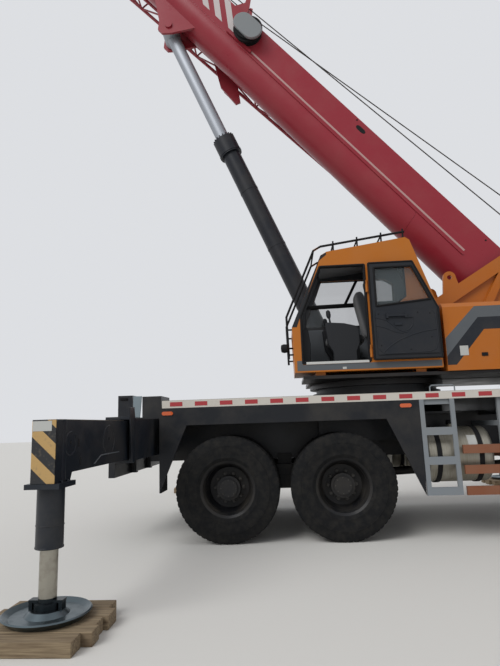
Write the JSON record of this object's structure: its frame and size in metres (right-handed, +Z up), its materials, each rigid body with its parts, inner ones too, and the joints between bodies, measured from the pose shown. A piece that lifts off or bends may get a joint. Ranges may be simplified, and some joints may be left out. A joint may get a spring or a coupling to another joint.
{
  "type": "truck crane",
  "caption": "Telescopic boom crane on a road carrier with outriggers, slewing superstructure and operator's cab, boom raised to the rear.",
  "frame": {"origin": "on the ground below the middle of the whole crane's box", "axes": "+X to the carrier's front, +Y to its left, +Z up"},
  "size_m": [14.661, 8.44, 12.349],
  "materials": {
    "frame_paint": "semi-gloss",
    "deck_paint": "semi-gloss",
    "cab_paint": "gloss",
    "cab_glass": "clear",
    "cab_trim": "matt",
    "running_gear": "painted",
    "tank_metal": "brushed",
    "step_paint": "semi-gloss",
    "lamp_lens": "gloss",
    "timber": "rough sawn",
    "jack_steel": "machined",
    "tyre_rubber": "matt",
    "rim_paint": "semi-gloss",
    "turntable_paint": "gloss",
    "winch_paint": "semi-gloss",
    "boom_paint": "gloss",
    "hook_paint": "gloss",
    "cylinder_paint": "gloss",
    "rod_chrome": "polished"
  },
  "bodies": {
    "carrier": {"chassis_frame": "frame_paint", "deck": "deck_paint", "driver_cab": "cab_paint", "driver_cab_glass": "cab_glass", "driver_cab_interior": "cab_trim", "driveline": "running_gear", "fuel_tanks": "tank_metal", "side_steps": "step_paint", "lamps": "lamp_lens", "timber_mats": "timber"},
    "driver_door_left": {"driver_door_left": "cab_paint"},
    "driver_door_right": {"driver_door_right": "cab_paint"},
    "wheel_1_left": {"tyre_1_left": "tyre_rubber", "rim_1_left": "rim_paint"},
    "knuckle_1_left": {"knuckle_1_left": "running_gear"},
    "wheel_1_right": {"tyre_1_right": "tyre_rubber", "rim_1_right": "rim_paint"},
    "knuckle_1_right": {"knuckle_1_right": "running_gear"},
    "wheel_2_left": {"tyre_2_left": "tyre_rubber", "rim_2_left": "rim_paint"},
    "knuckle_2_left": {"knuckle_2_left": "running_gear"},
    "wheel_2_right": {"tyre_2_right": "tyre_rubber", "rim_2_right": "rim_paint"},
    "knuckle_2_right": {"knuckle_2_right": "running_gear"},
    "wheel_3_left": {"tyre_3_left": "tyre_rubber", "rim_3_left": "rim_paint"},
    "wheel_3_right": {"tyre_3_right": "tyre_rubber", "rim_3_right": "rim_paint"},
    "wheel_4_left": {"tyre_4_left": "tyre_rubber", "rim_4_left": "rim_paint"},
    "wheel_4_right": {"tyre_4_right": "tyre_rubber", "rim_4_right": "rim_paint"},
    "outrigger_stage1_rear_right": {"outrigger_stage1_rear_right": "frame_paint"},
    "outrigger_stage2_rear_right": {"outrigger_stage2_rear_right": "frame_paint"},
    "outrigger_jack_rear_right": {"outrigger_jack_rear_right": "jack_steel"},
    "outrigger_stage1_rear_left": {"outrigger_stage1_rear_left": "frame_paint"},
    "outrigger_stage2_rear_left": {"outrigger_stage2_rear_left": "frame_paint"},
    "outrigger_jack_rear_left": {"outrigger_jack_rear_left": "jack_steel"},
    "outrigger_stage1_front_right": {"outrigger_stage1_front_right": "frame_paint"},
    "outrigger_stage2_front_right": {"outrigger_stage2_front_right": "frame_paint"},
    "outrigger_jack_front_right": {"outrigger_jack_front_right": "jack_steel"},
    "outrigger_stage1_front_left": {"outrigger_stage1_front_left": "frame_paint"},
    "outrigger_stage2_front_left": {"outrigger_stage2_front_left": "frame_paint"},
    "outrigger_jack_front_left": {"outrigger_jack_front_left": "jack_steel"},
    "superstructure": {"turntable_frame": "turntable_paint", "machinery_hoods": "cab_paint", "counterweight": "turntable_paint", "winches": "winch_paint", "operator_cab": "cab_paint", "operator_cab_glass": "cab_glass", "operator_cab_interior": "cab_trim"},
    "operator_door": {"operator_door": "cab_paint"},
    "boom_base": {"boom_base": "boom_paint", "stowed_jib": "boom_paint"},
    "boom_section_2": {"boom_section_2": "boom_paint"},
    "boom_section_3": {"boom_section_3": "boom_paint"},
    "boom_section_4": {"boom_section_4": "boom_paint"},
    "hook_block": {"hook_block": "hook_paint"},
    "lift_rod": {"lift_rod": "rod_chrome"},
    "lift_barrel": {"lift_barrel": "cylinder_paint"}
  },
  "joints": [
    {"name": "driver_door_left_hinge", "type": "hinge", "parent": "carrier", "child": "driver_door_left", "pos_m": [6.74455, 1.3373, 1.15], "axis": [0, 0, 1], "range_deg": [-70, 0]},
    {"name": "driver_door_right_hinge", "type": "hinge", "parent": "carrier", "child": "driver_door_right", "pos_m": [6.74455, -1.3373, 1.15], "axis": [0, 0, 1], "range_deg": [0, 70]},
    {"name": "steer_1_left", "type": "hinge", "parent": "carrier", "child": "knuckle_1_left", "pos_m": [4.71655, 0.905, 0.613], "axis": [0, 0, 1], "range_deg": [-35, 35]},
    {"name": "wheel_1_left_roll", "type": "hinge", "parent": "knuckle_1_left", "child": "wheel_1_left", "pos_m": [4.71655, 1.15, 0.613], "axis": [0, 1, 0], "continuous": true},
    {"name": "steer_1_right", "type": "hinge", "parent": "carrier", "child": "knuckle_1_right", "pos_m": [4.71655, -0.905, 0.613], "axis": [0, 0, 1], "range_deg": [-35, 35]},
    {"name": "wheel_1_right_roll", "type": "hinge", "parent": "knuckle_1_right", "child": "wheel_1_right", "pos_m": [4.71655, -1.15, 0.613], "axis": [0, 1, 0], "continuous": true},
    {"name": "steer_2_left", "type": "hinge", "parent": "carrier", "child": "knuckle_2_left", "pos_m": [3.21655, 0.905, 0.613], "axis": [0, 0, 1], "range_deg": [-26, 26]},
    {"name": "wheel_2_left_roll", "type": "hinge", "parent": "knuckle_2_left", "child": "wheel_2_left", "pos_m": [3.21655, 1.15, 0.613], "axis": [0, 1, 0], "continuous": true},
    {"name": "steer_2_right", "type": "hinge", "parent": "carrier", "child": "knuckle_2_right", "pos_m": [3.21655, -0.905, 0.613], "axis": [0, 0, 1], "range_deg": [-26, 26]},
    {"name": "wheel_2_right_roll", "type": "hinge", "parent": "knuckle_2_right", "child": "wheel_2_right", "pos_m": [3.21655, -1.15, 0.613], "axis": [0, 1, 0], "continuous": true},
    {"name": "wheel_3_left_roll", "type": "hinge", "parent": "carrier", "child": "wheel_3_left", "pos_m": [-1.48345, 1.012, 0.613], "axis": [0, 1, 0], "continuous": true},
    {"name": "wheel_3_right_roll", "type": "hinge", "parent": "carrier", "child": "wheel_3_right", "pos_m": [-1.48345, -1.012, 0.613], "axis": [0, 1, 0], "continuous": true},
    {"name": "wheel_4_left_roll", "type": "hinge", "parent": "carrier", "child": "wheel_4_left", "pos_m": [-2.83345, 1.012, 0.613], "axis": [0, 1, 0], "continuous": true},
    {"name": "wheel_4_right_roll", "type": "hinge", "parent": "carrier", "child": "wheel_4_right", "pos_m": [-2.83345, -1.012, 0.613], "axis": [0, 1, 0], "continuous": true},
    {"name": "outrigger_stage1_rear_right_slide", "type": "slide", "parent": "carrier", "child": "outrigger_stage1_rear_right", "axis": [0, 1, 0], "range_m": [0, 1.19]},
    {"name": "outrigger_stage2_rear_right_slide", "type": "slide", "parent": "outrigger_stage1_rear_right", "child": "outrigger_stage2_rear_right", "axis": [0, 1, 0], "range_m": [0, 1.38]},
    {"name": "outrigger_jack_rear_right_slide", "type": "slide", "parent": "outrigger_stage2_rear_right", "child": "outrigger_jack_rear_right", "axis": [0, 0, 1], "range_m": [0, 0.3]},
    {"name": "outrigger_stage1_rear_left_slide", "type": "slide", "parent": "carrier", "child": "outrigger_stage1_rear_left", "axis": [0, -1, 0], "range_m": [0, 1.19]},
    {"name": "outrigger_stage2_rear_left_slide", "type": "slide", "parent": "outrigger_stage1_rear_left", "child": "outrigger_stage2_rear_left", "axis": [0, -1, 0], "range_m": [0, 1.38]},
    {"name": "outrigger_jack_rear_left_slide", "type": "slide", "parent": "outrigger_stage2_rear_left", "child": "outrigger_jack_rear_left", "axis": [0, 0, 1], "range_m": [0, 0.3]},
    {"name": "outrigger_stage1_front_right_slide", "type": "slide", "parent": "carrier", "child": "outrigger_stage1_front_right", "axis": [0, 1, 0], "range_m": [0, 1.19]},
    {"name": "outrigger_stage2_front_right_slide", "type": "slide", "parent": "outrigger_stage1_front_right", "child": "outrigger_stage2_front_right", "axis": [0, 1, 0], "range_m": [0, 1.38]},
    {"name": "outrigger_jack_front_right_slide", "type": "slide", "parent": "outrigger_stage2_front_right", "child": "outrigger_jack_front_right", "axis": [0, 0, 1], "range_m": [0, 0.3]},
    {"name": "outrigger_stage1_front_left_slide", "type": "slide", "parent": "carrier", "child": "outrigger_stage1_front_left", "axis": [0, -1, 0], "range_m": [0, 1.19]},
    {"name": "outrigger_stage2_front_left_slide", "type": "slide", "parent": "outrigger_stage1_front_left", "child": "outrigger_stage2_front_left", "axis": [0, -1, 0], "range_m": [0, 1.38]},
    {"name": "outrigger_jack_front_left_slide", "type": "slide", "parent": "outrigger_stage2_front_left", "child": "outrigger_jack_front_left", "axis": [0, 0, 1], "range_m": [0, 0.3]},
    {"name": "slew", "type": "hinge", "parent": "carrier", "child": "superstructure", "pos_m": [-0.83345, 0, 1.8], "axis": [0, 0, 1], "continuous": true},
    {"name": "operator_door_hinge", "type": "hinge", "parent": "superstructure", "child": "operator_door", "pos_m": [-1.06545, -1.3273, 2.6], "axis": [0, 0, 1], "range_deg": [-180, 0]},
    {"name": "boom_luff", "type": "hinge", "parent": "superstructure", "child": "boom_base", "pos_m": [1.11655, 0, 3.33], "axis": [0, 1, 0], "range_deg": [-49.5, 30.5]},
    {"name": "telescope_2", "type": "slide", "parent": "boom_base", "child": "boom_section_2", "axis": [-0.6494, 0, 0.7604], "range_m": [0, 8]},
    {"name": "telescope_3", "type": "slide", "parent": "boom_section_2", "child": "boom_section_3", "axis": [-0.6494, 0, 0.7604], "range_m": [0, 8]},
    {"name": "telescope_4", "type": "slide", "parent": "boom_section_3", "child": "boom_section_4", "axis": [-0.6494, 0, 0.7604], "range_m": [0, 8]},
    {"name": "hook_swing", "type": "hinge", "parent": "boom_section_4", "child": "hook_block", "pos_m": [-7.08555, 0, 11.94798], "axis": [0, 1, 0], "range_deg": [-20, 49.5]},
    {"name": "lift_rod_pivot", "type": "hinge", "parent": "boom_base", "child": "lift_rod", "pos_m": [-3.74566, 0, 7.7911], "axis": [0, 1, 0], "range_deg": [-13.66, 8.42]},
    {"name": "lift_stroke", "type": "slide", "parent": "lift_rod", "child": "lift_barrel", "axis": [0.3886, 0, -0.9214], "range_m": [-1.9811, 1.2207]}
  ],
  "couplings": [
    {"joint": "steer_1_right", "follows": "steer_1_left", "ratio": 1},
    {"joint": "steer_2_left", "follows": "steer_1_left", "ratio": 0.72},
    {"joint": "steer_2_right", "follows": "steer_1_left", "ratio": 0.72},
    {"joint": "outrigger_stage2_rear_right_slide", "follows": "outrigger_stage1_rear_right_slide", "ratio": 1.1597},
    {"joint": "outrigger_stage2_rear_left_slide", "follows": "outrigger_stage1_rear_left_slide", "ratio": 1.1597},
    {"joint": "outrigger_stage2_front_right_slide", "follows": "outrigger_stage1_front_right_slide", "ratio": 1.1597},
    {"joint": "outrigger_stage2_front_left_slide", "follows": "outrigger_stage1_front_left_slide", "ratio": 1.1597},
    {"joint": "telescope_3", "follows": "telescope_2", "ratio": 1},
    {"joint": "telescope_4", "follows": "telescope_2", "ratio": 1},
    {"joint": "lift_rod_pivot", "follows": "boom_luff", "ratio": 0.27577},
    {"joint": "lift_stroke", "follows": "boom_luff", "m_per_rad": 2.2908}
  ]
}
